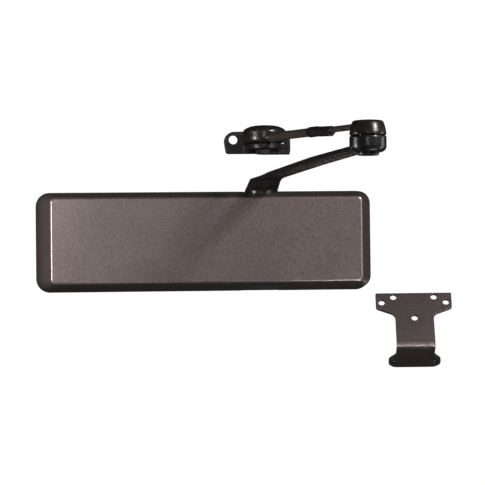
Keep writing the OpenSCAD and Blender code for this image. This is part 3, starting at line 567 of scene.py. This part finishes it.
def make_shoe():
    x0, x1 = SHOE_X - SHOE_LENGTH / 2, SHOE_X + SHOE_LENGTH / 2
    outline = (
        arc((x0 + 4.2, SHOE_Z0 + 3), 3, 200, 270, 6)
        + arc((x1 - 3, SHOE_Z0 + 3), 3, 270, 360, 6)
        + arc((x1 - 10, SHOE_Z1 - 10), 10, 0, 90, 12)
        + arc((x0 + 10, SHOE_Z1 - 10), 10, 90, 180, 12)
    )
    back = placed(plate("back", outline, [], SHOE_T, 0.5), UPRIGHT)
    shelf = placed(lathe("shelf", rounded_profile(16.5, *SHELF, 0.8)), shoe_place)
    parts = [back, shelf]
    px = SHOE_PIVOT.x
    boxes = [
        (px - 16.5, px + 16.5, -25.3, -2, *SHELF),
        (px - 15, px - 11, -18, -2, SHOE_Z0 + 0.5, SHELF[0] + 1),
        (px + 11, px + 15, -18, -2, SHOE_Z0 + 0.5, SHELF[0] + 1),
        (SHOE_X + 5, x1 - 1, -8, -1, SHOE_Z0 - 0.8, SHELF[0] + 1),
    ]
    for bx0, bx1, by0, by1, bz0, bz1 in boxes:
        section = [(x + (bx0 + bx1) / 2, y + (by0 + by1) / 2)
                   for x, y in rounded_rect((bx1 - bx0) / 2, (by1 - by0) / 2, 0.6, 3)]
        parts.append(loft("web", [[(x, y, z) for x, y in section] for z in (bz0, bz1)]))
    shoe = fused("shoe_casting", parts, 0.55, 3)
    cuts = []
    for x, z, r in SHOE_HOLES:
        bore = [(0, -1), (r, -1), (r, 3.2), (r + 0.5, 3.7), (r + 0.5, 9), (0, 9)]
        cuts.append(placed(lathe("hole", bore, (x, z), 48), UPRIGHT))
    cuts.append(placed(lathe("pin_hole", [(0, 75), (4.52, 75), (4.52, 112), (0, 112)]), shoe_place))
    boolean(shoe, cuts)
    show(shoe, "shoe", "shoe_paint", "dark_bronze_paint", "shoe", sharp=45)


make_shoe()
shoe_pin = placed(lathe("shoe_pin_head", [
    (0, 79.9), (3.9, 79.9), (4.5, 80.5), (4.5, 104.15), (7.5, 104.15), (7.5, 106.2), (7.1, 106.8),
    (6.2, 107.0), (0, 107.1)]), shoe_place)
show(shoe_pin, "shoe", "dark_fasteners", "dark_fasteners", "shoe_pin")
nut = hexagon("shoe_pin_nut_body", 14, 80.2, 84.75, 0.9, shoe_place)
boolean(nut, [placed(lathe("thread", [(0, 78), (4.55, 78), (4.55, 86), (0, 86)]), shoe_place)])
show(nut, "shoe", "dark_fasteners", "dark_fasteners", "shoe_pin_nut")

# ---------------------------------------------------------------- loose parallel-arm bracket
# Width, plate's and tab's lengths to the outside of the bend, sheet thickness, bend radius
B_WIDTH, B_PLATE, B_TAB, B_T, B_BEND = 71.6, 58.9, 38.6, 3.2, 5.2
B_X, B_TOP, B_TURN = 198.4, -50.6, math.radians(-5.5)
B_NECK, B_TAB_HALF = 18.1, 24.5          # half widths


def rest_angle():
    """The lean at which both free edges touch the door plane."""
    low, high = math.radians(20), math.radians(50)
    for _ in range(40):
        mid = (low + high) / 2
        gap = B_PLATE * math.sin(mid) - B_TAB * math.cos(mid) - B_T * (math.sin(mid) - math.cos(mid))
        low, high = (low, mid) if gap > 0 else (mid, high)
    return low


def bent(point):
    """From the flat blank (across, down, depth into the sheet) to the bent bracket's own frame."""
    x, v, t = point
    start = B_PLATE - B_BEND
    length = B_BEND * math.pi / 2
    if v <= start:
        return Vector((x, t, -v))
    a = min((v - start) / B_BEND, math.pi / 2)
    r = B_BEND - t
    y, z = B_BEND - r * math.cos(a), -B_PLATE + B_BEND - r * math.sin(a)
    return Vector((x, y + max(v - start - length, 0), z))


def make_bracket():
    half, bend_start = B_WIDTH / 2, B_PLATE - B_BEND
    tab = bend_start + B_BEND * math.pi / 2 - B_BEND      # blank position of the tab's own zero
    slope, lobe = 68.5, 8.5
    right = (
        arc((half - 0.8, 0.8), 0.8, 270, 360, 3)
        + arc((half - 3, 14.6), 3, 0, slope, 5)
        + arc((B_NECK + 6.2, 28), 6.2, 180 + slope, 180, 8)
        + [(B_NECK, bend_start)]
        + arc((B_NECK + 5, tab + 15.8), 5, 180, 128, 6)
        + arc((B_TAB_HALF - lobe, tab + 19.8 + lobe), lobe, -52, 0, 8)
        + arc((B_TAB_HALF - lobe, tab + B_TAB - lobe), lobe, 0, 90, 10)
    )
    outline = right + [(-x, v) for x, v in reversed(right)]
    plate_holes = ((-19.1, 4.3), (19.1, 4.3), (-30.3, 10.2), (30.3, 10.2), (0, 27.4))
    holes = [(x, v, 3.1) for x, v in plate_holes]
    holes += [(s * 19, tab + B_TAB - 8.4, 2.6) for s in (-1, 1)]
    blank = plate("bracket_plate", outline, holes, B_T, 0.35)
    bm = bmesh.new()
    bm.from_mesh(blank.data)
    cuts = 14
    for k in range(cuts + 1):
        v = (bend_start + B_BEND * math.pi / 2 * k / cuts) * MM
        bmesh.ops.bisect_plane(bm, geom=bm.verts[:] + bm.edges[:] + bm.faces[:], plane_co=(0, v, 0),
                               plane_no=(0, 1, 0), dist=1e-7)
    for vert in bm.verts:
        vert.co = bent(vert.co / MM) * MM
    bmesh.ops.recalc_face_normals(bm, faces=bm.faces)
    bm.to_mesh(blank.data)
    bm.free()
    lean = rest_angle()
    back = half * math.sin(abs(B_TURN))
    place = (Matrix.Translation(Vector((B_X, -back, B_TOP)) * MM) @ Matrix.Rotation(B_TURN, 4, "Z")
             @ Matrix.Translation((0, -B_T * math.cos(lean) * MM, 0)) @ Matrix.Rotation(-lean, 4, "X"))
    placed(blank, place)
    show(blank, "bracket", "bracket_paint", "dark_bronze_paint", "parallel_arm_bracket", sharp=30)


make_bracket()

# ---------------------------------------------------------------- closing spring
SPRING_X = (-109.4, 17.4)
WIRE_R, COIL_R, TURNS = 2.6, 15.2, 10
SPRING_FIXED, PISTON_TRAVEL, SEAT_TRAVEL = -112.0, 28.8, 12.02


def make_spring():
    """Two lengths that meet in the middle: one at the seat end, the other at the piston end."""
    per_turn, sides, joint_gap = 40, 14, 0.05
    total = TURNS * per_turn
    middle = total / 2

    def axial(share):
        n, flat = TURNS, 0.9
        t = min(max((share * n - flat) / (n - 2 * flat), 0), 1)
        closed = 2 * WIRE_R * flat
        return (SPRING_X[0] + closed * min(share * n, flat) + closed * max(share * n - n + flat, 0)
                + (SPRING_X[1] - SPRING_X[0] - 2 * WIRE_R * 1.62) * t)

    def ring(step):
        a = 2 * math.pi * step / per_turn
        points = []
        for k in range(sides):
            b = 2 * math.pi * k / sides
            r = COIL_R + WIRE_R * math.cos(b)
            x = axial(step / total) + WIRE_R * math.sin(b)
            points.append((x, SPINDLE.y + r * math.cos(a), r * math.sin(a)))
        return points

    for name, start, end, joint, far_x, travel in (
            ("closing_spring_seat_end", 0, middle, "power_adjust", SPRING_FIXED, SEAT_TRAVEL),
            ("closing_spring_piston_end", middle + joint_gap, total, "spindle_turn",
             SPRING_X[1] + WIRE_R, PISTON_TRAVEL)):
        steps = [start + (end - start) * k / middle for k in range(int(middle) + 1)]
        length = show(loft(name, [ring(step) for step in steps]), "closer_housing", "spring_steel",
                      "spring_steel", "closer_spring")
        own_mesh(length)


make_spring()

# ---------------------------------------------------------------- finishes of the CAD nodes that stay
CAD_PAINT = {"dark_bronze_paint": "arm_paint"}       # other slots have a material of their own name
for part in frame["record"]["subparts"]:
    slot = part["material_slot"]
    node = frame["nodes"][part["node"]]
    node.data.materials.clear()
    node.data.materials.append(MATERIALS[CAD_PAINT.get(slot, slot)])

# ---------------------------------------------------------------- floor, light and camera
FLOOR_HALF, FLOOR_Z = 12000, -450
PICTURE_WIDTH, FOCAL_LENGTH = 485, 2129.64           # pixels
SENSOR_WIDTH = 36


def floor():
    """Pale, and left out of the reflections and bounced light that reach the part."""
    signs = ((-1, -1), (1, -1), (1, 1), (-1, 1))
    corners = [(sx * FLOOR_HALF, sy * FLOOR_HALF, FLOOR_Z) for sx, sy in signs]
    stage = mesh_object("studio_floor", corners, [(0, 1, 2, 3)])
    m, nodes, _ = nodes_of("pale_floor")
    bsdf = nodes["Principled BSDF"]
    bsdf.inputs["Base Color"].default_value = (0.85, 0.85, 0.85, 1)
    bsdf.inputs["Roughness"].default_value = 0.9
    bsdf.inputs["Emission Color"].default_value = (1, 1, 1, 1)
    bsdf.inputs["Emission Strength"].default_value = 1.0
    stage.data.materials.append(m)
    stage.visible_glossy = False
    stage.visible_diffuse = False


def world(strength):
    """Dim grey light all round, seen as white by the camera."""
    w = bpy.data.worlds.new("studio")
    bpy.context.scene.world = w
    w.use_nodes = True
    nodes, links = w.node_tree.nodes, w.node_tree.links
    background = nodes["Background"]
    background.inputs["Color"].default_value = (strength, strength, strength * 1.02, 1)
    white = nodes.new("ShaderNodeBackground")
    white.inputs["Color"].default_value = (1.05, 1.05, 1.05, 1)
    path = nodes.new("ShaderNodeLightPath")
    mix = nodes.new("ShaderNodeMixShader")
    links.new(path.outputs["Is Camera Ray"], mix.inputs["Fac"])
    links.new(background.outputs["Background"], mix.inputs[1])
    links.new(white.outputs["Background"], mix.inputs[2])
    links.new(mix.outputs["Shader"], nodes["World Output"].inputs["Surface"])


def softbox(name, azimuth, elevation, distance, size, power, target=(0.03, -0.06, 0.0), glossy=True):
    """Rectangular light aimed at target. Azimuth is in degrees from straight in front, towards +X."""
    data = bpy.data.lights.new(name, "AREA")
    data.shape = "RECTANGLE"
    data.size, data.size_y = size
    data.energy = power
    a, e = math.radians(azimuth), math.radians(elevation)
    lamp = link(bpy.data.objects.new(name, data))
    lamp.visible_glossy = glossy
    lamp.location = Vector(target) + distance * Vector(
        (math.sin(a) * math.cos(e), -math.cos(a) * math.cos(e), math.sin(e)))
    lamp.rotation_euler = (Vector(target) - lamp.location).to_track_quat("-Z", "Y").to_euler()


def photo_camera():
    """The photograph's view: nearly level, from two metres."""
    yaw, pitch, roll = math.radians(5.15), math.radians(1.37), math.radians(-0.65)
    ahead = Vector((math.sin(yaw) * math.cos(pitch), math.cos(yaw) * math.cos(pitch), math.sin(pitch)))
    level = Vector((math.cos(yaw), -math.sin(yaw), 0))
    right = math.cos(roll) * level + math.sin(roll) * level.cross(ahead)
    up = right.cross(ahead)
    camera = link(bpy.data.objects.new("camera", bpy.data.cameras.new("camera")))
    matrix = Matrix((right, up, -ahead)).transposed().to_4x4()
    matrix.translation = (-0.14325, -2.0, -0.04935)
    camera.matrix_world = matrix
    camera.data.sensor_width = SENSOR_WIDTH
    camera.data.lens = SENSOR_WIDTH * FOCAL_LENGTH / PICTURE_WIDTH
    bpy.context.scene.camera = camera


floor()
world(0.02)
softbox("front", -6, 7, 1.9, (0.12, 0.12), 2.6)
softbox("key_right", 40, 27, 1.3, (0.13, 0.13), 18)
softbox("left_near", -38, 2, 0.28, (0.08, 0.20), 2.4, target=(-0.157, -0.057, 0.0))
softbox("right_near", 38, 2, 0.28, (0.07, 0.20), 0.4, target=(0.157, -0.057, 0.0))
softbox("low_edge", -5, -35, 0.22, (0.09, 0.03), 0.06, target=(-0.055, -0.057, -0.04))
softbox("bend_line", 3, -22, 0.3, (0.12, 0.04), 0.8, target=(0.198, -0.04, -0.095))
softbox("back", 180, 10, 1.7, (0.8, 0.8), 45, glossy=False)
photo_camera()
bpy.context.scene.view_settings.view_transform = "Standard"
